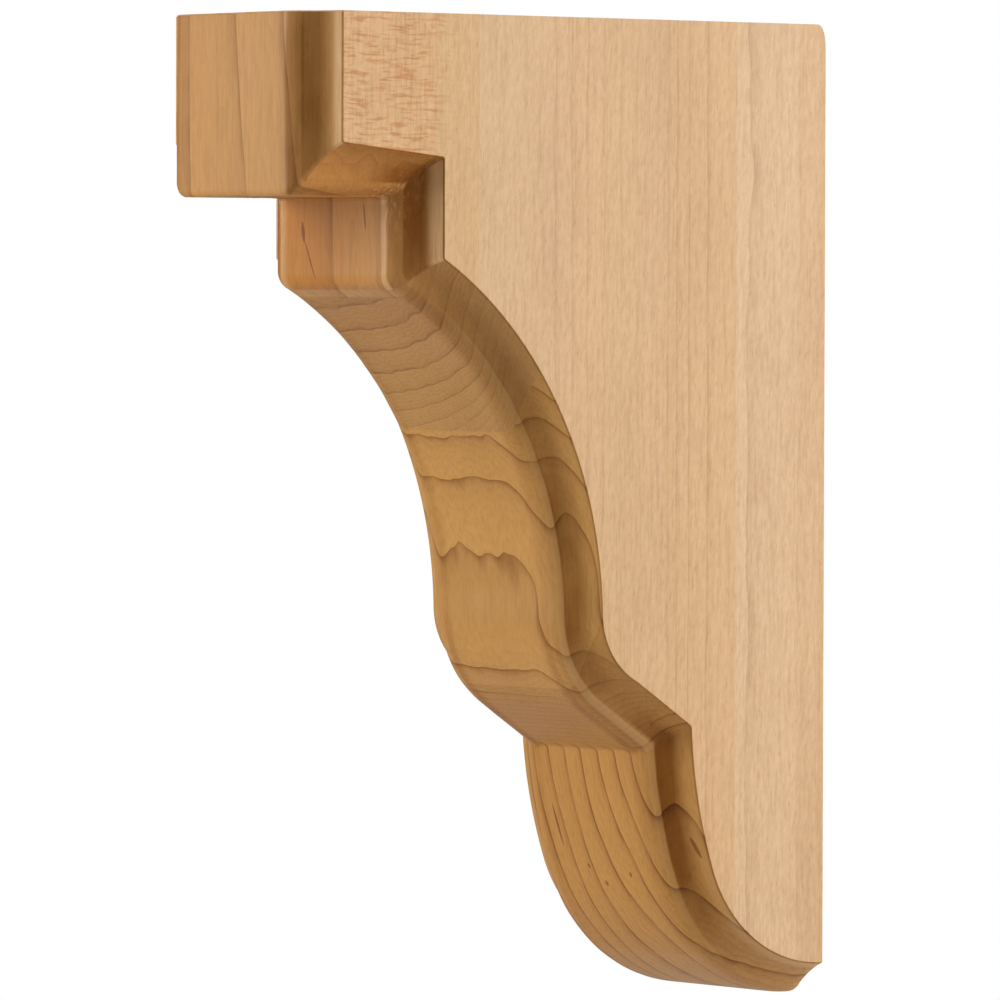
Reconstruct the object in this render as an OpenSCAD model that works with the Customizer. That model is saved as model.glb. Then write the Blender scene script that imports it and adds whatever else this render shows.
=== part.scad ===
// Wooden corbel bracket, milled from one glued-up block of maple.
// X runs across the width, the front faces -Y, the back stands on the plane Y = 0
// and +Z is up. The origin is the middle of the back face.
// The outline is drawn from the side, in the YZ plane. A flat band follows it across
// the middle of the width, and a cove steps down from the band to each side face.

/* [Overall size] */
// Height of the back
height = 304.8; // [250:0.1:370]
// Depth from the back to the front of the top block
depth = 203.2; // [165:0.1:250]
// Width across the two side faces
width = 82.6; // [65:0.1:110]

/* [Top block] */
// Height of the top block's front
top_h = 55.5; // [40:0.5:75]
// How far the top block stands out past the second block
top_out = 39.1; // [30:0.1:50]

/* [Second block] */
// Height of the second block's front
second_h = 26.6; // [20:0.1:36]

/* [Curve between the blocks] */
// Slope where the curve leaves the second block, in degrees below level
curve_slope = 26; // [15:1:40]
// Radius of the hollow
hollow_r = 114; // [80:1:150]
// Slope between the hollow and the belly, in degrees below level
riser_slope = 89; // [75:1:89]
// Radius of the belly
belly_r = 37; // [25:1:60]
// Slope of the straight run under the belly, in degrees below level
run_slope = 33; // [20:1:45]
// Length of the straight run under the belly
run_l = 23.5; // [10:0.5:40]

/* [Foot block] */
// Height of the foot block
foot_h = 78; // [60:0.5:100]
// Depth of the foot block at its top
foot_d = 63; // [50:0.5:80]
// Radius of the foot block's front
foot_front_r = 163; // [110:1:220]
// Slope of the foot block's front at its top, in degrees below level
foot_top_slope = 85; // [80:1:88]
// Slope where the front turns into the round under it, in degrees below level
foot_turn_slope = 70; // [60:1:78]
// Radius of the round under the foot block
foot_r = 56.7; // [40:0.1:80]

/* [Cove along the edges] */
// Step from the flat band down to the outline of the side face
inset = 10.2; // [6:0.1:14]
// Rise of the side face above the top block's underside, at the front corner
front_rise = 16; // [8:0.5:20]
// Rise of the side face above the top block's underside, at the inner corner
inner_rise = 12; // [6:0.5:16]
// Step to the side face where the curve runs upright
curve_inset = 8.8; // [5:0.1:13]
// Extra step to the side face where the curve looks downwards
curve_sag = 3.8; // [0:0.1:5]
// Step to the side face along the foot block's front
foot_inset = 8.8; // [5:0.1:13]
// Extra step to the side face under the foot block
foot_sag = 1.4; // [0:0.1:5]
// Distance from the side face in to the foot of the bead
cove_w = 10.6; // [6:0.1:14]
// Hollow of the cove below a straight chamfer
cove_bow = 1.2; // [0.5:0.1:3]
// Width of the bead, up to the flat band
bead_w = 5; // [3:0.1:7]
// Height of the flat band above the foot of the bead
bead_h = 3.1; // [2:0.1:4]
// Crown of the bead above a straight chamfer
bead_bow = 0.5; // [0.1:0.1:0.5]

/* [Worn corner at the top of the back] */
// How far down the back the wear reaches
worn_h = 8.4; // [2:0.1:15]
// How far forward along the top the wear reaches
worn_d = 3.6; // [1:0.1:8]

/* [Hidden] */
maple = [0.85, 0.70, 0.53];
half_w = width / 2;
over = 10;                      // the sweep runs this far past the two trimmed faces
curve_step = 3.2;               // degrees a facet turns along the outline
cove_n = 8;                     // facets across the cove
bead_n = 4;                     // facets across the bead
worn_n = 6;                     // facets across the worn corner
cove_h = inset - bead_h;        // height of the foot of the bead above the side face's outline
edge_w = cove_w + bead_w;       // distance from the side face in to the flat band
second_d = depth - top_out;     // depth of the second block
under_z = height - top_h;       // level of the top block's underside
curve_z = under_z - second_h;   // level where the curve starts

// A station is [y, z, slope]. A slope of 0 heads for the back, 90 heads straight down.
function inward(s, d) = [s[0] + d * sin(s[2]), s[1] + d * cos(s[2])];
function stretched(s, k, y0, z0) =
    [y0 + k[0] * s[0], z0 + k[1] * s[1], atan2(k[1] * sin(s[2]), k[0] * cos(s[2]))];
function turns(from, to) = max(2, ceil(abs(to - from) / curve_step));
function lerp(p, q, t) = p + (q - p) * t;

// The curve between the blocks, drawn from its start and then fitted to its room
function hollow_at(a) =
    [hollow_r * (sin(a) - sin(curve_slope)), hollow_r * (cos(a) - cos(curve_slope)), a];
hollow_end = hollow_at(riser_slope);
function belly_at(a) = [hollow_end[0] + belly_r * (sin(riser_slope) - sin(a)),
                        hollow_end[1] + belly_r * (cos(riser_slope) - cos(a)), a];
belly_end = belly_at(run_slope);
run_end = [belly_end[0] + run_l * cos(run_slope), belly_end[1] - run_l * sin(run_slope)];
curve_k = [(second_d - foot_d) / run_end[0], (foot_h - curve_z) / run_end[1]];
function on_curve(s) = stretched(s, curve_k, -second_d, curve_z);
function curve_inner(s) = inward(s, curve_inset + curve_sag * pow(cos(s[2]), 2));

// The foot block, drawn up from the back and then fitted to its height and depth
function foot_round_at(a) = [-foot_r * sin(a), foot_r * (1 - cos(a)), a];
foot_turn = foot_round_at(foot_turn_slope);
function foot_front_at(a) = [foot_turn[0] + foot_front_r * (sin(foot_turn_slope) - sin(a)),
                             foot_turn[1] + foot_front_r * (cos(foot_turn_slope) - cos(a)), a];
foot_top = foot_front_at(foot_top_slope);
foot_k = [foot_d / -foot_top[0], foot_h / foot_top[1]];
function on_foot(s) = stretched(s, foot_k, 0, 0);
function foot_inner(s) = inward(s, foot_inset + foot_sag * pow(cos(s[2]), 2));

// Corners of the side face, where the edge of one run meets the edge of the next
function heel_gap(a) = curve_inner(on_curve(hollow_at(a)))[0] + second_d - inset;
function heel_slope(lo, hi, n = 24) = n == 0 ? lo
    : heel_gap((lo + hi) / 2) < 0 ? heel_slope((lo + hi) / 2, hi, n - 1)
    : heel_slope(lo, (lo + hi) / 2, n - 1);
heel_a = heel_slope(curve_slope, riser_slope);
run_inner = curve_inner(on_curve(belly_end));
run_dir = [curve_k[0] * cos(run_slope), -curve_k[1] * sin(run_slope)];
function valley_gap(a) = let (p = foot_inner(on_foot(foot_front_at(a))) - run_inner)
    run_dir[0] * p[1] - run_dir[1] * p[0];
function valley_slope(lo, hi, n = 24) = n == 0 ? lo
    : valley_gap((lo + hi) / 2) < 0 ? valley_slope((lo + hi) / 2, hi, n - 1)
    : valley_slope(lo, (lo + hi) / 2, n - 1);
valley_a = valley_slope(foot_turn_slope, 100);

// The outline of the flat band, and beside it the outline of the side face
hollow_n = turns(curve_slope, riser_slope);
belly_n = turns(riser_slope, run_slope);
front_n = turns(foot_top_slope, foot_turn_slope);
round_n = turns(foot_turn_slope, 0);
flat_top = [[-depth, height + over], [-depth, under_z], [-second_d, under_z]];
side_top = [[inset - depth, height + over], [inset - depth, under_z + front_rise],
            [inset - second_d, under_z + inner_rise]];
function hollow_line(from) = [for (i = [0 : hollow_n])
    on_curve(hollow_at(lerp(from, riser_slope, i / hollow_n)))];
belly_line = [for (i = [1 : belly_n]) on_curve(belly_at(lerp(riser_slope, run_slope, i / belly_n)))];
function front_line(from) = [for (i = [0 : front_n])
    on_foot(foot_front_at(lerp(from, foot_turn_slope, i / front_n)))];
round_line = [for (i = [1 : round_n]) on_foot(foot_round_at(lerp(foot_turn_slope, 0, i / round_n)))];
flat_curve = concat(hollow_line(curve_slope), belly_line);
side_curve = [for (s = concat(hollow_line(heel_a), belly_line)) curve_inner(s)];
flat_foot = concat(front_line(foot_top_slope), round_line);
side_foot = [for (s = concat(front_line(valley_a), round_line)) foot_inner(s)];
flat_line = concat(flat_top, flat_curve, flat_foot, [[over, 0]]);
side_line = concat(side_top, side_curve, side_foot, [[over, foot_inset + foot_sag]]);

// An arc from p to q that bows out to the left of its chord, or to the right below 0
function bowed(p, q, bow, n) = let (
    l = norm(q - p), along = (q - p) / l, across = [-along[1], along[0]] * sign(bow),
    half = 2 * atan(2 * abs(bow) / l), r = l / 2 / sin(half))
    [for (i = [0 : n]) let (a = half * (2 * i / n - 1))
        (p + q) / 2 + along * r * sin(a) + across * r * (cos(a) - cos(half))];

// Half of the section from the side face in: [distance from the side face, share of the step]
cove_line = bowed([0, 0], [cove_w, cove_h], -cove_bow, cove_n);
bead_line = bowed([cove_w, cove_h], [edge_w, inset], bead_bow, bead_n);
half_section = [for (p = cove_line) [p[0], p[1] / inset],
                for (i = [1 : bead_n]) [bead_line[i][0], bead_line[i][1] / inset]];
half_n = len(half_section);

// Levels of the rings on the back, which fall steadily while the outline steps back
line_n = len(side_line);
function level(i) = lerp(height + over, foot_inset + foot_sag + 1, i / (line_n - 1));

// One ring: the section from the right side face to the left one, then two corners behind
function ring(i) = let (flat = [flat_line[i][0], flat_line[i][1]],
                        side = [side_line[i][0], side_line[i][1]])
    [for (p = half_section) let (q = lerp(side, flat, p[1])) [half_w - p[0], q[0], q[1]],
     for (j = [half_n - 1 : -1 : 0]) let (p = half_section[j], q = lerp(side, flat, p[1]))
         [p[0] - half_w, q[0], q[1]],
     [-half_w, over, level(i)], [half_w, over, level(i)]];
ring_n = 2 * half_n + 2;

module swept_block() {
    polyhedron(
        points = [for (i = [0 : line_n - 1]) each ring(i)],
        faces = [
            [for (j = [0 : ring_n - 1]) j],
            [for (j = [ring_n - 1 : -1 : 0]) (line_n - 1) * ring_n + j],
            for (i = [0 : line_n - 2], j = [0 : ring_n - 1])
                let (k = (j + 1) % ring_n, p = i * ring_n, q = p + ring_n)
                each [[p + j, q + k, p + k], [p + j, q + j, q + k]]
        ],
        convexity = 8);
}

// The room in front of the wall and below the top, with the worn corner between them
function worn_at(t) = [-worn_d * t * t, height - worn_h * pow(1 - t, 2)];
module room() {
    rotate([90, 0, 90])
        linear_extrude(2 * width, center = true)
            polygon(concat([[-2 * depth, -height], [0, -height]],
                           [for (i = [0 : worn_n]) worn_at(i / worn_n)],
                           [[-2 * depth, height]]));
}

module corbel() {
    color(maple)
        translate([0, 0, -height / 2])
            intersection() {
                swept_block();
                room();
            }
}

corbel();
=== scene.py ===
import math

import bpy
from bpy.props import FloatProperty, FloatVectorProperty, PointerProperty
from mathutils import Matrix, Vector, noise


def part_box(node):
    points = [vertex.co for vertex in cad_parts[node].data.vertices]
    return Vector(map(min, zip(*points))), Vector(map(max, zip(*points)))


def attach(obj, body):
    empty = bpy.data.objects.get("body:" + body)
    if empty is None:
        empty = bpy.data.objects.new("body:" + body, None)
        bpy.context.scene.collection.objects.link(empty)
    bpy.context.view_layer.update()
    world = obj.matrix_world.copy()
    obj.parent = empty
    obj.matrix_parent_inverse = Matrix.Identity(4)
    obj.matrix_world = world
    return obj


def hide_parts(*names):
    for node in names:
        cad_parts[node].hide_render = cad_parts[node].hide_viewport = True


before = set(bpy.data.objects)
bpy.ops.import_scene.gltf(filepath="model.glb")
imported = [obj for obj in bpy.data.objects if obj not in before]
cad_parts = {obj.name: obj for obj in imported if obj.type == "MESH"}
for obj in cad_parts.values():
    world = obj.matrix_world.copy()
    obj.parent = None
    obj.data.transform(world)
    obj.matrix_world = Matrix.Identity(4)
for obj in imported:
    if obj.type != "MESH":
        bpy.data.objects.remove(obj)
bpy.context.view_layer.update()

bl_info = {
    "name": "Maple corbel bracket",
    "version": (1, 0, 0),
    "blender": (4, 5, 0),
    "location": "View3D > Sidebar > Corbel",
    "description": "Builds a lacquered maple corbel round its fixed frame, with its stage",
    "category": "Object",
}

NODE = "corbel"
LOW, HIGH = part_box(NODE)
MM = 0.001

# The runs of the block's outline, from the top of the front down and round
TOP_FRONT, UNDERSIDE, SECOND_FRONT, CURVE, FOOT, BACK, TOP = range(7)
# Steps along the plain back and top, and along the milled runs
COARSE, FINE = 40 * MM, 1.1 * MM
# Steps across the parts of the section
COVE_STEPS, BEAD_STEPS, BAND_STEPS, ARRIS_STEPS = 18, 9, 8, 4
# How far along the outline a wave of the hand sanding and a torn splinter reach
WAVE, SPLINTER = 9 * MM, 2.5 * MM


# ---------------------------------------------------------------- sizes and colours


def length(name, description, default):
    """A size in metres, given here in millimetres."""
    return FloatProperty(name=name, description=description, default=default * MM, unit="LENGTH")


def slope(name, description, default):
    """An angle, given here in degrees."""
    return FloatProperty(name=name, description=description, default=math.radians(default), subtype="ANGLE")


def colour(name, description, default):
    """A colour of the finished wood."""
    return FloatVectorProperty(
        name=name, description=description, default=default, size=3, subtype="COLOR", min=0, max=1
    )


class CorbelSizes(bpy.types.PropertyGroup):
    """Sizes of the milled block, beside its overall size, which the frame gives."""

    top_h: length("Top block height", "Height of the top block's front", 55.5)
    top_out: length("Top block overhang", "How far it stands out past the second block", 39.1)
    second_h: length("Second block height", "Height of the second block's front", 26.6)
    curve_slope: slope("Curve start", "Slope where the curve leaves the second block", 26)
    hollow_r: length("Hollow radius", "Radius of the hollow", 114)
    riser_slope: slope("Riser slope", "Slope between the hollow and the belly", 89)
    belly_r: length("Belly radius", "Radius of the belly", 37)
    run_slope: slope("Run slope", "Slope of the straight run under the belly", 33)
    run_l: length("Run length", "Length of the straight run under the belly", 23.5)
    foot_h: length("Foot height", "Height of the foot block", 78)
    foot_d: length("Foot depth", "Depth of the foot block at its top", 63)
    foot_front_r: length("Foot front radius", "Radius of the foot block's front", 163)
    foot_top_slope: slope("Foot top slope", "Slope of the foot's front at its top", 85)
    foot_turn_slope: slope("Foot turn slope", "Slope where the foot's front turns into its round", 70)
    foot_r: length("Foot radius", "Radius of the round under the foot block", 56.7)
    inset: length("Edge step", "Step from the flat band down to the side face's outline", 10.2)
    front_rise: length("Front rise", "Rise of the side face over the top block's front corner", 16)
    inner_rise: length("Inner rise", "Rise of the side face over the top block's inner corner", 12)
    curve_inset: length("Curve step", "Step to the side face where the curve runs upright", 8.8)
    curve_sag: length("Curve sag", "Extra step where the curve looks downwards", 3.8)
    foot_inset: length("Foot step", "Step to the side face along the foot's front", 8.8)
    foot_sag: length("Foot sag", "Extra step under the foot block", 1.4)
    cove_w: length("Cove width", "Distance from the side face in to the foot of the bead", 10.6)
    cove_bow: length("Cove hollow", "Hollow of the cove below a straight chamfer", 1.2)
    bead_w: length("Bead width", "Width of the bead, up to the flat band", 5)
    bead_h: length("Bead height", "Height of the flat band above the foot of the bead", 3.1)
    soft_bow: length("Soft cove hollow", "Hollow of the cove where it is sanded soft", 0.6)
    tear: length("Torn wood", "How deep the wood is torn at the inner corners", 0.25)
    crown: length("Front crown", "How far the top block's front falls away at its ends", 0.3)
    arris: length("Arris", "Easing of the sharp edges", 0.3)
    back_ease_d: length("Back ease depth", "Depth of the worn corner at the top of the back", 3.6)
    back_ease_h: length("Back ease height", "Height of the worn corner at the top of the back", 8.4)
    wander: length("Hand wander", "How far hand sanding moves the bead's edges", 0.25)


class CorbelFinish(bpy.types.PropertyGroup):
    """Colours of lacquered maple."""

    face: colour("Side face", "Planed long grain of the side faces", (0.69, 0.445, 0.242))
    golden: colour("Milled golden", "Long grain of the milled front", (0.59, 0.315, 0.108))
    end_grain: colour("End grain", "Milled surfaces that cut across the grain", (0.55, 0.285, 0.1))
    ring: colour("Growth line", "What the dark growth lines leave of the colour", (0.46, 0.32, 0.2))
    fleck: colour("Fleck", "Short flecks on the side faces", (0.50, 0.25, 0.10))
    curl: colour("Curl", "Dashes of the curly figure", (0.55, 0.22, 0.06))
    # Colour left by finish pooled in the cove, the crease and the inner corners, with painted shade there
    lacquer_and_shade_tone: colour("Gathered lacquer", "What gathered lacquer leaves of the colour", (0.50, 0.35, 0.15))
    # Painted highlight on the arris, the bead's ridge and its lip, partly wood rubbed paler; torn wood takes
    # this colour too
    pale: colour("Pale edge", "Edges rubbed pale", (0.72, 0.45, 0.22))
    warm: colour("Warm cut", "What a freshly cut orange face leaves of the colour", (0.81, 0.60, 0.29))


# ---------------------------------------------------------------- outline of the block


def lerp(a, b, t):
    """The value or vector at t between a and b."""
    return a + (b - a) * t


def evenly(start, stop, count):
    """Evenly spaced values from start to stop, in so many steps."""
    return [lerp(start, stop, i / count) for i in range(count + 1)]


def inward(point, angle, step):
    """A point moved into the block, square to the outline's slope there."""
    return point + Vector((math.sin(angle), math.cos(angle))) * step


class Outline:
    """The block seen from the side, as (y, z) points with z up from the foot.

    Each run pairs a line on the flat band with a line on the side face's edge."""

    TURN = math.radians(1.0)

    def __init__(self, size):
        self.s = size
        self.height = HIGH.z - LOW.z
        self.depth = HIGH.y - LOW.y
        self.second_d = self.depth - size.top_out
        self.under_z = self.height - size.top_h
        self.curve_z = self.under_z - size.second_h
        end = self.raw_curve(size.run_slope, belly=True)
        end += Vector((math.cos(size.run_slope), -math.sin(size.run_slope))) * size.run_l
        self.curve_k = Vector((
            (self.second_d - size.foot_d) / end.x, (size.foot_h - self.curve_z) / end.y
        ))
        top = self.raw_foot(size.foot_top_slope, front=True)
        self.foot_k = Vector((size.foot_d / -top.x, size.foot_h / top.y))

    def raw_curve(self, angle, belly=False):
        """A point of the hollow or the belly, from where the curve starts."""
        s = self.s

        def arc(radius, start, stop, sign):
            turned = Vector((math.sin(stop) - math.sin(start), math.cos(stop) - math.cos(start)))
            return turned * radius * sign

        if not belly:
            return arc(s.hollow_r, s.curve_slope, angle, 1)
        return arc(s.hollow_r, s.curve_slope, s.riser_slope, 1) + arc(s.belly_r, s.riser_slope, angle, -1)

    def raw_foot(self, angle, front=False):
        """A point of the foot's round or its front, from the back's lower end."""
        s = self.s
        if not front:
            return Vector((-s.foot_r * math.sin(angle), s.foot_r * (1 - math.cos(angle))))
        turn = self.raw_foot(s.foot_turn_slope)
        return turn + s.foot_front_r * Vector((
            math.sin(s.foot_turn_slope) - math.sin(angle),
            math.cos(s.foot_turn_slope) - math.cos(angle),
        ))

    def curve(self, angle, belly=False):
        """A point of the curve in place, and its slope."""
        p = self.raw_curve(angle, belly)
        tilt = math.atan2(self.curve_k.y * math.sin(angle), self.curve_k.x * math.cos(angle))
        return Vector((p.x * self.curve_k.x - self.second_d, p.y * self.curve_k.y + self.curve_z)), tilt

    def foot(self, angle, front=False):
        """A point of the foot in place, and its slope."""
        p = self.raw_foot(angle, front)
        tilt = math.atan2(self.foot_k.y * math.sin(angle), self.foot_k.x * math.cos(angle))
        return Vector((p.x * self.foot_k.x, p.y * self.foot_k.y)), tilt

    def curve_side(self, angle, belly=False):
        """The point of the side face's edge that stands behind a point of the curve."""
        point, tilt = self.curve(angle, belly)
        return inward(point, tilt, self.s.curve_inset + self.s.curve_sag * math.cos(tilt) ** 2)

    def foot_side(self, angle, front=False):
        """The point of the side face's edge that stands behind a point of the foot."""
        point, tilt = self.foot(angle, front)
        return inward(point, tilt, self.s.foot_inset + self.s.foot_sag * math.cos(tilt) ** 2)

    @staticmethod
    def crossing(gap, low, high):
        """The angle between low and high where gap turns from negative to positive."""
        for _ in range(40):
            middle = (low + high) / 2
            if gap(middle) < 0:
                low = middle
            else:
                high = middle
        return low

    def heel(self):
        """Where the side face's edge starts to follow the hollow."""
        edge = self.s.inset - self.second_d
        return self.crossing(lambda a: self.curve_side(a).x - edge, self.s.curve_slope, self.s.riser_slope)

    def valley(self):
        """Where the side face's edge starts to follow the foot's front."""
        start = self.curve_side(self.s.run_slope, belly=True)
        run = Vector((
            self.curve_k.x * math.cos(self.s.run_slope), -self.curve_k.y * math.sin(self.s.run_slope)
        ))

        def gap(angle):
            away = self.foot_side(angle, front=True) - start
            return run.x * away.y - run.y * away.x

        return self.crossing(gap, self.s.foot_turn_slope, math.radians(100))

    def inner_side(self):
        """The side face's corner under the top block."""
        return Vector((self.s.inset - self.second_d, self.under_z + self.s.inner_rise))

    def valley_side(self):
        """The side face's corner over the foot block."""
        return self.foot_side(self.valley(), front=True)

    def angles(self, start, stop):
        """Evenly spaced angles from start to stop."""
        count = max(2, math.ceil(abs(stop - start) / self.TURN))
        return evenly(start, stop, count)

    def runs(self):
        """The closed outline, each run as (band points, side points, step length)."""
        s = self.s
        front = s.inset - self.depth
        hollow = self.angles(s.curve_slope, s.riser_slope)
        side_hollow = evenly(self.heel(), s.riser_slope, len(hollow) - 1)
        belly = self.angles(s.riser_slope, s.run_slope)[1:]
        face = self.angles(s.foot_top_slope, s.foot_turn_slope)
        side_face = evenly(self.valley(), s.foot_turn_slope, len(face) - 1)
        under = self.angles(s.foot_turn_slope, 0)[1:]
        curve_band = [self.curve(a)[0] for a in hollow] + [self.curve(a, True)[0] for a in belly]
        curve_side = [self.curve_side(a) for a in side_hollow] + [self.curve_side(a, True) for a in belly]
        foot_band = [self.foot(a, True)[0] for a in face] + [self.foot(a)[0] for a in under]
        foot_side = [self.foot_side(a, True) for a in side_face] + [self.foot_side(a) for a in under]
        front_band, front_side = Vector((-self.depth, self.height)), Vector((front, self.height))
        nose_band = Vector((-self.depth, self.under_z))
        nose_side = Vector((front, self.under_z + s.front_rise))
        inner_band = Vector((-self.second_d, self.under_z))
        valley_band = Vector((-s.foot_d, s.foot_h))
        # The two lines meet on the back and the top, past the end of the edge's step
        merge = 0.12 * self.height
        back, top = Vector((0, merge)), Vector((merge - self.depth, self.height))
        corner = Vector((0, self.height))
        return [
            ([front_band, nose_band], [front_side, nose_side], FINE),
            ([nose_band, inner_band], [nose_side, self.inner_side()], FINE),
            ([inner_band, Vector((-self.second_d, self.curve_z))], [self.inner_side(), curve_side[0]], FINE),
            (curve_band + [valley_band], curve_side + [self.valley_side()], FINE),
            (foot_band, foot_side, FINE),
            ([foot_band[-1], back, corner], [foot_side[-1], back, corner], COARSE),
            ([corner, top, front_band], [corner, top, front_side], COARSE),
        ]

    def reaches(self):
        """How far the easing of each run's last corner reaches.

        Each row gives it on the band and on the side face, before and after the corner."""
        s = self.s
        edge = 1.5 * s.arris
        nose, sharp, worn, crisp = 2.2 * MM, 1.0 * MM, 3.6 * MM, 0.8 * MM
        return [
            (nose, nose, crisp, crisp),
            (sharp, sharp, crisp, crisp),
            (worn, worn, crisp, crisp),
            (sharp, sharp, crisp, crisp),
            (edge, edge, edge, edge),
            (s.back_ease_h, s.back_ease_d, s.back_ease_h, s.back_ease_d),
            (edge, edge, edge, edge),
        ]


def place_at(points, reach, backwards=False):
    """The fractional index of the point at that distance along a line of points."""
    order = list(range(len(points)))
    if backwards:
        order.reverse()
    walked = 0
    for a, b in zip(order, order[1:]):
        step = (points[b] - points[a]).length
        if walked + step >= reach and step > 0:
            return lerp(a, b, (reach - walked) / step)
        walked += step
    raise ValueError("an outline run is shorter than the easing of its corner")


def point_at(points, index):
    """The point at a fractional index of a line of points."""
    low = min(int(index), len(points) - 2)
    return points[low].lerp(points[low + 1], index - low)


def trimmed(points, start, stop, count):
    """Points from start along the line to stop short of its end, evenly in index."""
    a = place_at(points, start)
    b = place_at(points, stop, backwards=True)
    return [point_at(points, lerp(a, b, i / count)) for i in range(count + 1)]


def eased(before, corner, after, count=7):
    """Points of a soft corner, without its two ends."""
    found = []
    for i in range(1, count):
        t = i / count
        found.append(before.lerp(corner, t).lerp(corner.lerp(after, t), t))
    return found


def closed_outline(outline):
    """Stations round the closed outline, as (band point, side point, run number, share of the run)."""
    runs, reaches = outline.runs(), outline.reaches()
    stations = []
    trims = []
    for k, (band, side, step) in enumerate(runs):
        last = reaches[k - 1]
        this = reaches[k]
        total = sum((b - a).length for a, b in zip(band, band[1:]))
        count = max(6, math.ceil(total / step))
        trims.append((trimmed(band, last[1], this[0], count), trimmed(side, last[3], this[2], count)))
    for k, (band, side) in enumerate(trims):
        for i, pair in enumerate(zip(band, side)):
            stations.append((*pair, k, i / (len(band) - 1)))
        next_band, next_side = trims[(k + 1) % len(trims)]
        corners = zip(
            eased(band[-1], runs[k][0][-1], next_band[0]), eased(side[-1], runs[k][1][-1], next_side[0])
        )
        stations += [(*pair, k, 1.0) for pair in corners]
    return stations


# ---------------------------------------------------------------- section of the edge


def bowed(start, stop, bow, count):
    """Points of an arc that bows to the left of its chord, or to the right below zero."""
    chord = stop - start
    along = chord.normalized()
    across = Vector((-along.y, along.x)) * math.copysign(1, bow)
    half = 2 * math.atan(2 * abs(bow) / chord.length)
    radius = chord.length / 2 / math.sin(half)
    middle = (start + stop) / 2
    found = []
    for i in range(count + 1):
        a = half * (2 * i / count - 1)
        found.append(middle + along * radius * math.sin(a) + across * radius * (math.cos(a) - math.cos(half)))
    return found


def soft_arc(start, turn, stop, count):
    """Points of a soft arc from start to stop that heads for the turning point first, ends included."""
    return [start, *eased(start, turn, stop, count), stop]


def half_section(size, half_width, soft=False):
    """Half of the section as (distance in from the side face and height, name of the part)."""
    # The bead's shoulder as shares of its width and height, how much wider it is, and its run-out
    shoulder, spread, runout, bow = (0.15, 0.58), 0.0, 0.35 * MM, size.cove_bow
    if soft:
        shoulder, spread, runout, bow = (0.42, 0.93), 0.4, 2 * MM, size.soft_bow
    foot = Vector((size.cove_w, size.inset - size.bead_h))
    rise = foot + Vector((shoulder[0] * size.bead_w, shoulder[1] * size.bead_h))
    crown = Vector((size.cove_w + size.bead_w + spread * size.bead_w, size.inset))
    edge = Vector((0, 0))
    cove = bowed(edge, foot, -bow, COVE_STEPS)
    bead = soft_arc(foot, rise, crown, BEAD_STEPS)
    lip = bead[-2].lerp(crown, 0.65)
    land = crown + Vector((runout, 0))
    arris = Vector((0, -size.arris))
    ridge_end = 5
    points = [(arris, "side")]
    points += [(p, "arris") for p in eased(arris, edge, cove[1], ARRIS_STEPS)]
    points += [(p, "cove") for p in cove[1:-1]]
    points += [(foot, "crease")]
    points += [(p, "ridge") for p in bead[1:ridge_end]]
    points += [(p, "bead") for p in bead[ridge_end:-1]]
    points += [(p, "lip") for p in soft_arc(lip, crown, land, 4)]
    points += [(Vector((u, size.inset)), "band") for u in evenly(land.x, half_width, BAND_STEPS)[1:]]
    return points


# For each run of the outline, at its start and its end: how softly the bead is sanded
SOFTNESS = ((0.0, 0.0), (0.0, 0.0), (0.0, 0.1), (0.35, 0.75), (0.5, 1.0), (1.0, 1.0), (1.0, 0.0))
# The same for the darkening in the cove, in the crease and on the bead: finish pooled there, with painted
# shade
POOLED_FINISH_AND_SHADE = {
    "arris": ((0.3, 0.3), (0.4, 0.4), (0.4, 0.4), (0.45, 0.3), (0.35, 0.5)),
    "cove": ((0.75, 0.75), (0.0, 0.0), (0.85, 0.8), (0.5, 0.52), (0.9, 0.0)),
    "crease": ((1.0, 0.8), (0.2, 0.2), (1.0, 0.8), (0.65, 0.55), (0.75, 0.15)),
    "ridge": ((0.55, 0.5), (0.1, 0.2), (0.5, 0.35), (0.3, 0.0), (0.1, 0.05)),
    "bead": ((0.55, 0.5), (0.15, 0.3), (0.5, 0.35), (0.25, 0.12), (0.12, 0.05)),
    "lip": ((0.2, 0.2), (0.1, 0.1), (0.1, 0.1), (0.15, 0.45), (0.25, 0.05)),
}
# The same for the painted highlight on the arris, the bead's ridge and its lip, which also stands for wood
# rubbed paler, and for how orange the raw cut is
PALE_AND_HIGHLIGHT = {
    "cove": ((0.9, 0.9), (0.0, 0.0), (0.75, 0.75), (0.0, 0.0), (0.0, 0.5)),
    "ridge": ((0.0, 0.0), (0.0, 0.0), (0.0, 0.0), (0.0, 0.35), (0.15, 0.0)),
    "lip": ((0.0, 0.0), (0.2, 0.4), (0.65, 0.5)),
}
WARM = ((0.2, 0.2), (2.2, 2.2), (1.0, 0.85), (0.0, 0.0), (0.0, 0.0))


def along(values, run, share):
    """A value given at the start and the end of each run, or nothing past the last run given."""
    return lerp(*values[run], share) if run < len(values) else 0.0


def part_way(value, start, stop):
    """How far a value is from start to stop, from 0 to 1."""
    return min(1, max(0, (value - start) / (stop - start)))


def sway(where, salt, scale):
    """A smooth wobble from -1 to 1 along the outline."""
    return noise.noise(Vector((where / scale, salt, 0.5)))


def inner_corners(outline):
    """The side face's two inner corners, each with the reach of the painted shade in it and how torn the wood
    is.
    """
    return ((outline.inner_side(), 14 * MM, 1.0), (outline.valley_side(), 7 * MM, 0.0))


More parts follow.
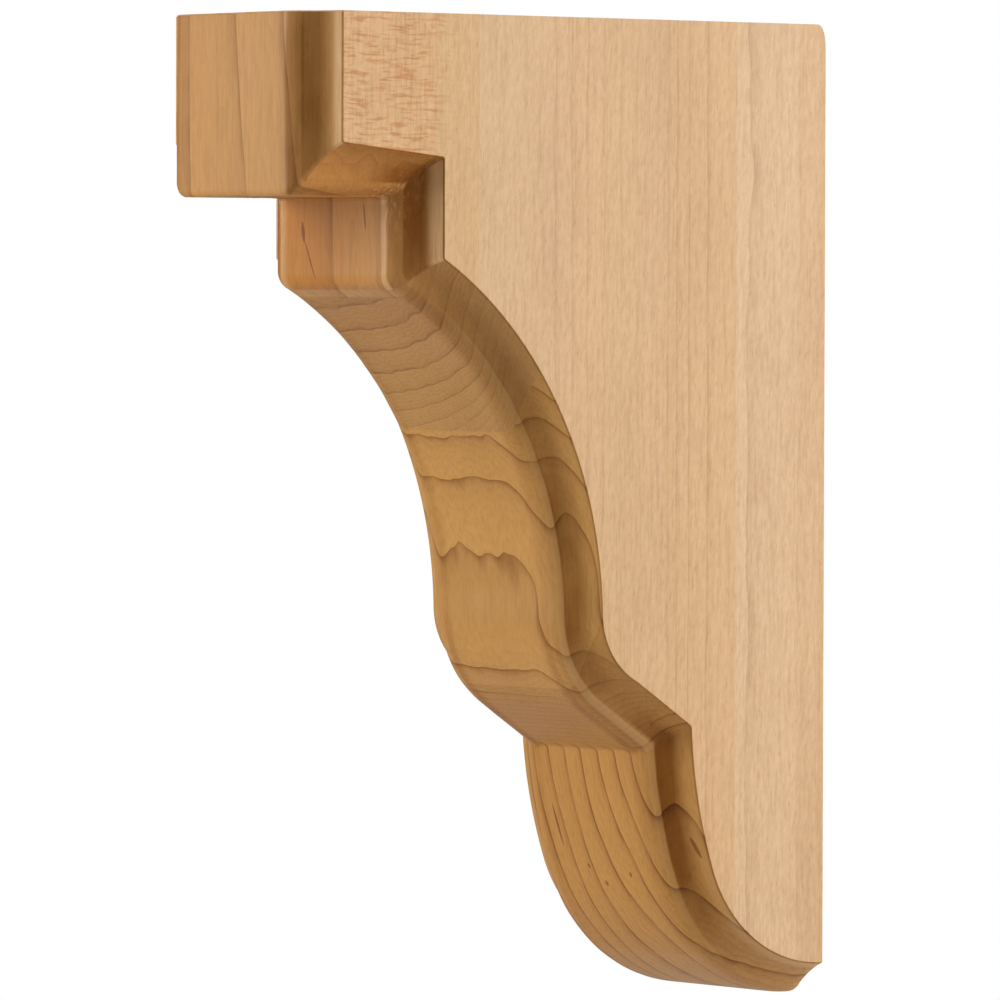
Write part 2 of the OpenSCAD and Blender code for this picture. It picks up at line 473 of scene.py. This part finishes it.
def finish_at(size, part, u, run, share, near, torn, upright):
    """The finish of a point: milled, pooled finish with painted shade, painted highlight on wood rubbed
    paler, warm and torn wood.
    """
    if run > FOOT or part == "side":
        return 0.0, 0.0, 0.0, 0.0, 0.0
    gather = along(POOLED_FINISH_AND_SHADE.get(part, ()), run, share)
    pale = along(PALE_AND_HIGHLIGHT.get(part, ()), run, share)
    if run in (CURVE, FOOT) and part in ("cove", "crease"):
        # More pooled finish and painted shade where the cove runs upright than where it runs level
        gather = min(1, gather * lerp(0.15, 1.5, upright))
    if part == "cove":
        # Painted shade deepens from the arris towards the crease, and fills the cove near the inner corners
        across = u / size.cove_w
        gather = part_way(across, 0.3, 0.7) * lerp(gather, 1, near)
        # A painted highlight runs along the arris, wider on the second block's front
        rubbed = 0.55 if run == SECOND_FRONT else 0.36
        pale *= part_way(across, rubbed, rubbed - 0.14)
        torn *= 0.3
    elif part not in ("crease", "ridge", "bead"):
        torn = 0.0
    return 1.0, gather, pale, along(WARM, run, share), torn


def block_mesh(size):
    """The block's points and faces, and the finish of each point."""
    outline = Outline(size)
    stations = closed_outline(outline)
    corners = inner_corners(outline)
    half_width = (HIGH.x - LOW.x) / 2
    sections = half_section(size, half_width), half_section(size, half_width, soft=True)
    section = list(zip(*sections))
    count = len(stations)
    points, finishes, faces = [], [], []
    walked = 0.0
    for i, (band, side, run, share) in enumerate(stations):
        before, after = stations[i - 1][1], stations[(i + 1) % count][1]
        tangent = (after - before).normalized()
        inside = Vector((-tangent.y, tangent.x))
        walked += (band - stations[i - 1][0]).length
        # How near the point is to an inner corner, where the cove is filled with painted shade
        near = max(math.exp(-((side - at).length / reach) ** 2) for at, reach, tears in corners)
        torn = max(tears * math.exp(-((side - at).length / reach) ** 2) for at, reach, tears in corners)
        for sign in (1, -1):
            half = section if sign == 1 else section[-2::-1]
            for (crisp, part), (soft, _) in half:
                u, v = crisp.lerp(soft, along(SOFTNESS, run, share))
                if run <= FOOT and part in ("cove", "crease", "ridge", "bead", "lip"):
                    held = min(1, u / (3 * MM))
                    u += size.wander * sway(walked, 3.1 * sign, WAVE) * held
                    v -= size.tear * torn * (0.5 + sway(walked, 40 * u / MM, SPLINTER))
                flat = side.lerp(band, v / size.inset)
                if part == "side":
                    flat = side - inside * v
                elif run == TOP_FRONT and part in ("band", "lip"):
                    fallen = 1 - math.sin(math.pi * share) ** 0.7
                    flat = flat + Vector((size.crown * fallen, 0))
                points.append((sign * (half_width - u), flat.x, flat.y + LOW.z))
                finishes.append(finish_at(size, part, u, run, share, near, torn, tangent.y ** 2))
    ring = 2 * len(section) - 1
    for i in range(count):
        a, b = i * ring, (i + 1) % count * ring
        for j in range(ring - 1):
            faces.append((a + j, a + j + 1, b + j + 1, b + j))
    faces.append(tuple(i * ring for i in range(count)))
    faces.append(tuple(i * ring + ring - 1 for i in reversed(range(count))))
    return points, faces, finishes


# ---------------------------------------------------------------- shader maths


class Signal:
    """A shader socket that adds Math nodes when Python's operators are used on it."""

    def __init__(self, graph, socket):
        self.graph = graph
        self.socket = socket

    def math(self, operation, *others, clamp=False):
        """One Math node on this value and the others."""
        inputs = dict(enumerate((self, *others)))
        return self.graph.node("ShaderNodeMath", {"operation": operation, "use_clamp": clamp}, inputs)

    def __add__(self, other):
        return self.math("ADD", other)

    def __sub__(self, other):
        return self.math("SUBTRACT", other)

    def __mul__(self, other):
        return self.math("MULTIPLY", other)

    def __truediv__(self, other):
        return self.math("DIVIDE", other)

    def __rsub__(self, other):
        return self.math("MULTIPLY", -1.0) + other

    __radd__ = __add__
    __rmul__ = __mul__

    def squared(self):
        return self * self

    def power(self, exponent):
        return self.math("POWER", exponent)

    def exp(self):
        return self.math("EXPONENT")

    def log(self, base):
        return self.math("LOGARITHM", base)

    def at_least(self, limit):
        return self.math("MAXIMUM", limit)

    def at_most(self, limit):
        return self.math("MINIMUM", limit)

    def clamped(self):
        return self.math("ADD", 0.0, clamp=True)

    def ranged(self, kind, low, high, first, last):
        """One Map Range node, which holds its ends."""
        inputs = {"Value": self, "From Min": low, "From Max": high, "To Min": first, "To Max": last}
        return self.graph.node("ShaderNodeMapRange", {"interpolation_type": kind}, inputs, "Result")

    def linear(self, low, high, first=0.0, last=1.0):
        """first up to low, last from high on, and straight between."""
        return self.ranged("LINEAR", low, high, first, last)

    def between(self, low, high, first=0.0, last=1.0):
        """first up to low, last from high on, and smooth between."""
        return self.ranged("SMOOTHSTEP", low, high, first, last)


class Graph:
    """The node tree of a material or a world."""

    def __init__(self, owner):
        self.owner = owner
        owner.use_nodes = True
        self.tree = owner.node_tree
        self.tree.nodes.clear()

    def node(self, kind, settings=None, inputs=None, output=0):
        """Adds a node, sets it up, feeds its sockets and returns one output, if it has any."""
        made = self.tree.nodes.new(kind)
        for key, value in (settings or {}).items():
            if key == "stops":
                self.set_stops(made.color_ramp, value)
            else:
                setattr(made, key, value)
        for key, value in (inputs or {}).items():
            if isinstance(value, Signal):
                self.tree.links.new(value.socket, made.inputs[key])
            else:
                made.inputs[key].default_value = value
        return Signal(self, made.outputs[output]) if made.outputs else None

    @staticmethod
    def set_stops(ramp, stops):
        """Places a stepped ramp's stops, given as (position, colour)."""
        ramp.interpolation = "CONSTANT"
        while len(ramp.elements) < len(stops):
            ramp.elements.new(1.0)
        for element, (position, tone) in zip(ramp.elements, stops):
            element.position = position
            element.color = (*tone, 1)

    def ramp(self, share, stops):
        """A stepped colour ramp."""
        return self.node("ShaderNodeValToRGB", {"stops": stops}, {"Fac": share}, "Color")

    def attribute(self, name):
        """A value kept at each point of the mesh."""
        return self.node("ShaderNodeAttribute", {"attribute_name": name}, {}, "Fac")

    def split(self, vector):
        """The three parts of a vector."""
        first = self.node("ShaderNodeSeparateXYZ", {}, {0: vector}, "X")
        return [Signal(self, output) for output in first.socket.node.outputs]

    def surface(self, shader, kind="ShaderNodeOutputMaterial"):
        """Makes a shader the surface of the material or the world."""
        self.node(kind, {}, {"Surface": shader})

    def mix(self, a, b, factor, blend="MIX"):
        """Two colours mixed; each is a signal or three numbers."""
        first, second = (value if isinstance(value, Signal) else (*value, 1) for value in (a, b))
        settings = {"data_type": "RGBA", "blend_type": blend}
        return self.node("ShaderNodeMix", settings, {0: factor, 6: first, 7: second}, 2)

    def tint(self, base, tone, amount):
        """A colour multiplied by a tone, as far as the amount says."""
        return self.mix(base, tone, amount, "MULTIPLY")

    def vector(self, x, y, z):
        """A vector from its three parts."""
        return self.node("ShaderNodeCombineXYZ", {}, {0: x, 1: y, 2: z})

    def noise(self, vector, detail=2.0, rough=0.5):
        """Smooth noise from 0 to 1, with one cell to a unit."""
        inputs = {"Vector": vector, "Scale": 1.0, "Detail": detail, "Roughness": rough}
        return self.node("ShaderNodeTexNoise", {}, inputs, "Fac")


# ---------------------------------------------------------------- the wood


# Depths of the glue lines between the boards, in mm from the back
GLUE_LINES = (36.6, 65.0, 115.5, 156.7)
# Tones of the boards, from the back: up to this depth, on a side face, on a milled surface
BOARDS = (
    (2.0, (0.98, 0.96, 0.94), (1.00, 1.00, 1.00)),
    (11.0, (0.98, 1.00, 1.03), (0.90, 0.88, 0.80)),
    (36.6, (1.02, 1.07, 1.14), (0.90, 0.88, 0.80)),
    (65.0, (0.98, 0.97, 0.94), (0.90, 0.84, 0.64)),
    (75.3, (0.98, 0.98, 0.97), (0.86, 0.80, 0.64)),
    (90.3, (0.98, 0.98, 0.95), (0.84, 0.78, 0.62)),
    (105.5, (1.00, 0.99, 0.97), (0.95, 0.93, 0.78)),
    (115.5, (0.99, 0.99, 0.99), (0.94, 0.92, 0.74)),
    (139.5, (1.00, 1.02, 1.01), (0.84, 0.83, 0.74)),
    (156.7, (0.98, 0.97, 0.86), (0.84, 0.80, 0.68)),
    (210.0, (1.06, 1.01, 0.90), (0.99, 0.99, 0.99)),
)
# Depth of the glued blank, a little past the block's front
BLANK = BOARDS[-1][0]
# Depths of the centre of the hollow's rings and of the belly's, and of the foot's and block's fronts
HOLLOW_CENTRE, BELLY_CENTRE, FOOT_FRONT, BLOCK_FRONT = 103.8, 88.6, 63.5, 203.2
# Usual spacing of the growth lines in the foot's, belly's, hollow's and front's boards
FOOT_YEAR, BELLY_YEAR, HOLLOW_YEAR, FRONT_YEAR = 7.9, 3.5, 3.6, 23.2

# Dark marks in the wood, in mm: start and end as (x, z), width, depth
MARKS = (
    ((15.0, 248.0), (16.0, 239.5), 0.45, 164.1),
    ((-15.1, 242.0), (-14.2, 236.0), 1.1, 164.1),
    ((-14.2, 237.0), (-8.4, 224.0), 0.4, 164.1),
    ((-19.2, 59.5), (-17.5, 46.5), 0.6, 58.5),
    ((-7.8, 41.2), (-7.2, 39.6), 0.7, 55.0),
    ((-1.2, 36.0), (-0.8, 34.3), 0.8, 53.0),
    ((12.0, 39.4), (12.2, 37.8), 0.7, 54.2),
    ((36.6, 51.5), (38.6, 45.0), 0.8, 49.3),
)


class Maple:
    """Solid maple, glued up from boards along the depth, each with its own growth rings.

    Sizes here are in mm, and a field's three factors say how many cells it has to a mm."""

    def __init__(self, graph):
        g = graph
        self.g = g
        x, y, z = g.split(g.node("ShaderNodeTexCoord", {}, {}, "Object"))
        self.x = x * (1 / MM)
        self.depth = y * (-1 / MM)
        self.z = z * (1 / MM) + (HIGH.z - LOW.z) / 2 / MM
        self.drift = self.field(0.05, 0.05, 0.025, 2.0) - 0.5
        self.quiver = self.field(0.11, 0.11, 0.05, 1.0) - 0.5
        self.fibre = self.field(1.1, 1.1, 0.07, 5.0, 0.65)
        self.pores = self.field(1.7, 1.7, 0.32, 3.0, 0.65)
        slanted = g.vector(self.x * 0.65, self.depth * 0.65 + self.z * 0.1, self.z * 0.24)
        self.mottle = g.noise(slanted, 2.0, 0.7)
        self.cloud = self.field(0.04, 0.04, 0.012, 3.0)

    def field(self, across, along, up, detail, rough=0.5):
        """Noise in the block, stretched by a factor across it, along its depth and up it."""
        place = self.g.vector(self.x * across, self.depth * along, self.z * up)
        return self.g.noise(place, detail, rough)

    def front_rings(self):
        """Flat sawn rings of the front board, nearly upright planes that lean more to the right."""
        lean = self.z.linear(302, 252, 0.0, 5.1) * self.x.linear(-25, 2)
        return (self.x - lean - 2.0 - (self.depth - BLOCK_FRONT) * 0.17) / FRONT_YEAR

    def hollow_rings(self):
        """Shallow bowls, closer together towards the back."""
        s = self.depth - (self.x + 25).squared() * 0.0032
        return ((s - HOLLOW_CENTRE).at_least(0.5) / 38).log(0.8)

    def belly_rings(self):
        """Nearly level in depth, bending back towards the right side, wide in front and fine behind."""
        bend = (self.x - 12).at_least(0).squared() * 0.02
        s = self.depth + bend - BELLY_CENTRE
        return s.at_least(0) / 6.5 + s.at_most(0) / 2.2

    def foot_rings(self):
        """Rings that lean across the foot, more so towards the right side."""
        back = 1 - ((self.depth - FOOT_FRONT) * (1 / 14)).exp()
        reach = self.x.between(-8, 22, 11.0, 26.0) + (self.x - 22).at_least(0) * 0.28
        return (self.x - back * reach + 2.6) / FOOT_YEAR

    def rings(self):
        """Darkness of the growth lines, a finer set within them, and how far through its year the wood is."""
        wobble = self.drift * 1.2 + self.quiver * 1.0
        foot = self.foot_rings()
        hollow_strength = self.x.between(26, 34, 0.75, 0.2) * self.depth.between(119, 129, 0.4, 1.0)
        fields = (
            (foot, FOOT_YEAR, 1.0),
            (foot, FOOT_YEAR, 1.15),
            (self.belly_rings(), BELLY_YEAR, self.depth.between(84, 92, 0.4, 0.9)),
            (self.hollow_rings(), HOLLOW_YEAR, hollow_strength),
            (self.front_rings(), FRONT_YEAR, 0.55),
        )
        years = [field + wobble / spacing for field, spacing, weight in fields]
        year, strength = years[0], fields[0][2]
        for seam, count, (field, spacing, weight) in zip(GLUE_LINES, years[1:], fields[1:]):
            past = self.depth.math("GREATER_THAN", seam)
            year = year + (count - year) * past
            strength = strength + (weight - strength) * past
        share = year.math("FRACT")
        line = share.power(14) * 0.9 + share.power(4) * 0.2
        broken = self.quiver.between(-0.25, 0.2, 0.55, 1.1)
        fine = (year * 5 + self.quiver * 3).math("FRACT").power(3)
        return line * broken * strength, fine, share

    def flecks(self):
        """Short upright flecks of darker wood."""
        return self.pores.between(0.56, 0.72)

    def chips(self):
        """Ragged chips where the cutter tore the wood."""
        return self.field(0.9, 0.9, 0.35, 3.0, 0.7).between(0.5, 0.66)

    def curl(self):
        """The curly figure of the front board's sides: soft level dashes, and a few upright ones."""
        patch = self.field(0.1, 0.09, 0.12, 3.0)
        inside = (self.depth + patch * 26).between(157, 179) * (self.z + patch * 8).between(247, 254)
        wavy = self.g.vector(self.x * 0.1, self.depth * 0.12, self.z * 0.95 + self.quiver * 1.6)
        level = self.g.noise(wavy, 3.0, 0.6)
        upright = self.field(0.3, 1.2, 0.07, 2.0)
        dashes = level.between(0.47, 0.64) * patch.between(0.3, 0.58, 0.45, 1.0)
        return (dashes + upright.between(0.52, 0.72) * 0.38).clamped() * inside

    def mark(self, start, end, width, depth):
        """A dark streak from start to end, as (x, z), near one depth."""
        start, end = Vector(start), Vector(end)
        run = end - start
        x, z = self.x - start.x, self.z - start.y
        share = ((x * run.x + z * run.y) / run.length_squared).clamped()
        off = ((x - share * run.x).squared() + (z - share * run.y).squared()).power(0.5)
        thin = share * (1 - share) * 3 + 0.25
        here = (self.depth - depth).math("ABSOLUTE").between(3, 5, 1.0, 0.0)
        return (off / thin).between(width * 0.5, width * 1.1, 1.0, 0.0) * here

    def marks(self):
        """The mineral streaks, small checks and pin knots of this block."""
        total = self.mark(*MARKS[0])
        for streak in MARKS[1:]:
            total = total + self.mark(*streak)
        return total.clamped()


def board_tones(column):
    """A stepped ramp's stops: where each board starts, as a share of the blank, and its tone."""
    starts = (0.0, *(end / BLANK for end, side, front in BOARDS))
    return [(start, board[column]) for start, board in zip(starts, BOARDS)]


def maple_material(finish):
    """Satin lacquered maple: light-toned planed sides, and a milled edge with pooled finish and painted shade
    in its hollows and painted highlights on its edges.
    """
    g = Graph(bpy.data.materials.new("maple"))
    wood = Maple(g)
    milled = g.attribute("milled")
    # Pooled finish and painted shade, broken up by the grain
    gather = (g.attribute("gather") * wood.quiver.between(-0.2, 0.2, 0.78, 1.15)).at_most(1)
    pale = g.attribute("pale")
    warm = g.attribute("warm")
    torn = g.attribute("torn")

    def by_cut(planed, cut):
        """A strength on the planed sides and on the milled edge."""
        return milled * (cut - planed) + planed

    upward = g.split(g.node("ShaderNodeNewGeometry", {}, {}, "Normal"))[2]
    end = upward.math("ABSOLUTE").between(0.2, 0.9)
    share = wood.depth / BLANK
    line, fine, year = wood.rings()
    curl = wood.curl() * (1 - milled)
    chips = torn * wood.chips()
    planed = g.tint(finish.face, g.ramp(share, board_tones(1)), 1.0)
    planed = g.mix(planed, finish.fleck, wood.flecks() * 0.46)
    planed = g.mix(planed, finish.curl, curl * 0.75)
    cut = g.tint(g.mix(finish.golden, finish.end_grain, end), g.ramp(share, board_tones(2)), 1.0)
    base = g.mix(planed, cut, milled)
    base = g.tint(base, finish.ring, line * by_cut(0.3, 1.0))
    base = g.tint(base, finish.ring, fine * (milled * (end * 0.16 + 0.06) + 0.05))
    base = g.tint(base, finish.ring, year * milled * 0.1)
    base = g.tint(base, finish.ring, wood.fibre.between(0.42, 0.72) * 0.22)
    base = g.tint(base, finish.ring, wood.cloud.between(0.35, 0.75) * 0.1)
    base = g.tint(base, finish.ring, wood.mottle.between(0.3, 0.7) * by_cut(0.16, 0.08))
    base = g.tint(base, finish.warm, warm * wood.x.between(-20, 30, 1.0, 0.3))
    # Painted highlight on the arris, the bead's ridge and its lip, partly wood rubbed paler
    base = g.mix(base, finish.pale, pale * wood.fibre.between(0.3, 0.6, 0.5, 0.95))
    # Painted shade in the cove, the crease and the inner corners, over finish pooled there
    base = g.tint(base, finish.lacquer_and_shade_tone, gather)
    base = g.tint(base, finish.ring, wood.marks() * 0.85)
    base = g.mix(base, finish.pale, chips * 0.42)
    rough = by_cut(0.46, 0.40) + wood.fibre * 0.1 + gather * 0.05
    coat = by_cut(0.07, 0.04) + pale * 0.1
    height = wood.fibre * 0.5 + wood.pores * 0.3 - line * 0.6 - curl * 0.2 + chips * 1.5
    relief = {"Strength": 0.35, "Distance": 0.12 * MM, "Height": height}
    g.surface(g.node("ShaderNodeBsdfPrincipled", {}, {
        "Base Color": base,
        "Roughness": rough,
        "Normal": g.node("ShaderNodeBump", {}, relief, "Normal"),
        "Specular IOR Level": 0.12,
        "Coat Weight": coat,
        "Coat Roughness": 0.25,
    }, "BSDF"))
    return g.owner


# ---------------------------------------------------------------- stage

# How far the floor reaches each way and how far below the block it lies, in metres
FLOOR_REACH, FLOOR_DROP = 1.3, 0.35
FLOOR_TONE = (0.92, 0.92, 0.92, 1)
# Each softbox: azimuth and elevation in degrees, width and height in metres, power in watts
SOFTBOXES = {
    "key": (125, 15, (0.7, 1.0), 21),
    "front": (-34, 12, (0.7, 1.0), 19),
    "low": (20, -55, (1.0, 0.8), 18),
}
SOFTBOX_AWAY = 1.6
# The room's own light on the block, and the plain white that is seen behind it
ROOM_LIGHT, ROOM_TONE = 0.28, (1, 0.985, 0.96, 1)
WHITE = (1, 1, 1, 1)
# The camera's place in metres, its turn, drop and roll in degrees, and its lens in mm
VIEW_FROM = (1.9658, -1.71586, 0.0693)
VIEW_ANGLES = (50.542, 1.473, 0.159)
VIEW_LENS = 295.52


# ---------------------------------------------------------------- operators


class CORBEL_OT_block(bpy.types.Operator):
    """Build the milled maple block and put it in the place of its CAD node"""

    bl_idname = "corbel.block"
    bl_label = "Milled block"

    def execute(self, context):
        points, faces, finishes = block_mesh(context.scene.corbel_sizes)
        mesh = bpy.data.meshes.new("maple_block")
        mesh.from_pydata(points, [], faces)
        if mesh.validate():
            raise RuntimeError("the block's mesh had faces that had to be mended")
        for name, values in zip(("milled", "gather", "pale", "warm", "torn"), zip(*finishes)):
            mesh.attributes.new(name, "FLOAT", "POINT").data.foreach_set("value", values)
        block = bpy.data.objects.new("maple_block", mesh)
        context.scene.collection.objects.link(block)
        mesh.materials.append(maple_material(context.scene.corbel_finish))
        mesh.set_sharp_from_angle(angle=math.radians(40))
        mesh.polygons.foreach_set("use_smooth", [True] * (len(faces) - 2) + [False] * 2)
        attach(block, "root")
        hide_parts(NODE)
        return {"FINISHED"}


class CORBEL_OT_stage(bpy.types.Operator):
    """Lay the pale floor, hang the soft lights and set the camera"""

    bl_idname = "corbel.stage"
    bl_label = "Stage"

    def execute(self, context):
        self.floor(context)
        self.lights(context)
        self.camera(context)
        return {"FINISHED"}

    def floor(self, context):
        """A wide pale floor, far enough below for its shadow not to show."""
        mesh = bpy.data.meshes.new("floor")
        reach, level = FLOOR_REACH, LOW.z - FLOOR_DROP
        mesh.from_pydata(
            [(-reach, -reach, level), (reach, -reach, level), (reach, reach, level), (-reach, reach, level)],
            [], [(0, 1, 2, 3)],
        )
        floor = bpy.data.objects.new("floor", mesh)
        context.scene.collection.objects.link(floor)
        g = Graph(bpy.data.materials.new("pale_floor"))
        g.surface(g.node("ShaderNodeBsdfDiffuse", {}, {"Color": FLOOR_TONE}, "BSDF"))
        mesh.materials.append(g.owner)

    def lights(self, context):
        """Three softboxes round the block, in a dim white room."""
        middle = (LOW + HIGH) / 2
        for name, (azimuth, elevation, size, power) in SOFTBOXES.items():
            a, e = math.radians(azimuth), math.radians(elevation)
            away = Vector((math.sin(a) * math.cos(e), -math.cos(a) * math.cos(e), math.sin(e)))
            data = bpy.data.lights.new(name, "AREA")
            data.shape = "RECTANGLE"
            data.size, data.size_y = size
            data.energy = power
            light = bpy.data.objects.new(name, data)
            light.location = middle + away * SOFTBOX_AWAY
            light.rotation_mode = "QUATERNION"
            light.rotation_quaternion = away.to_track_quat("Z", "Y")
            context.scene.collection.objects.link(light)
        world = bpy.data.worlds.new("studio")
        context.scene.world = world
        g = Graph(world)
        lit = g.node("ShaderNodeBackground", {}, {"Color": ROOM_TONE, "Strength": ROOM_LIGHT})
        seen = g.node("ShaderNodeBackground", {}, {"Color": WHITE, "Strength": 1.0})
        direct = g.node("ShaderNodeLightPath", {}, {}, "Is Camera Ray")
        g.surface(g.node("ShaderNodeMixShader", {}, {0: direct, 1: lit, 2: seen}), "ShaderNodeOutputWorld")
        context.scene.view_settings.view_transform = "Standard"

    def camera(self, context):
        """A long lens, level with the block's upper half."""
        data = bpy.data.cameras.new("view")
        data.sensor_width = 36
        data.lens = VIEW_LENS
        data.clip_start, data.clip_end = 0.1, 100
        turn, drop, roll = map(math.radians, VIEW_ANGLES)
        forward = Vector((-math.sin(turn) * math.cos(drop), math.cos(turn) * math.cos(drop), -math.sin(drop)))
        level = Vector((math.cos(turn), math.sin(turn), 0))
        upward = level.cross(forward)
        right = level * math.cos(roll) + upward * math.sin(roll)
        upward = right.cross(forward)
        camera = bpy.data.objects.new("view", data)
        basis = Matrix((right, upward, -forward)).transposed().to_4x4()
        camera.matrix_world = Matrix.Translation(VIEW_FROM) @ basis
        context.scene.collection.objects.link(camera)
        context.scene.camera = camera


class CORBEL_PT_panel(bpy.types.Panel):
    """Buttons and sizes of the corbel"""

    bl_idname = "CORBEL_PT_panel"
    bl_label = "Corbel"
    bl_space_type = "VIEW_3D"
    bl_region_type = "UI"
    bl_category = "Corbel"

    def draw(self, context):
        for operator in STEPS:
            self.layout.operator(operator.bl_idname)
        for group in (context.scene.corbel_sizes, context.scene.corbel_finish):
            box = self.layout.box()
            for name in group.__annotations__:
                box.prop(group, name)


STEPS = (CORBEL_OT_block, CORBEL_OT_stage)
CLASSES = (CorbelSizes, CorbelFinish, *STEPS, CORBEL_PT_panel)


def register():
    for cls in CLASSES:
        bpy.utils.register_class(cls)
    bpy.types.Scene.corbel_sizes = PointerProperty(type=CorbelSizes)
    bpy.types.Scene.corbel_finish = PointerProperty(type=CorbelFinish)


def unregister():
    del bpy.types.Scene.corbel_finish
    del bpy.types.Scene.corbel_sizes
    for cls in reversed(CLASSES):
        bpy.utils.unregister_class(cls)


def main():
    register()
    bpy.ops.corbel.block()
    bpy.ops.corbel.stage()


if __name__ == "__main__":
    main()
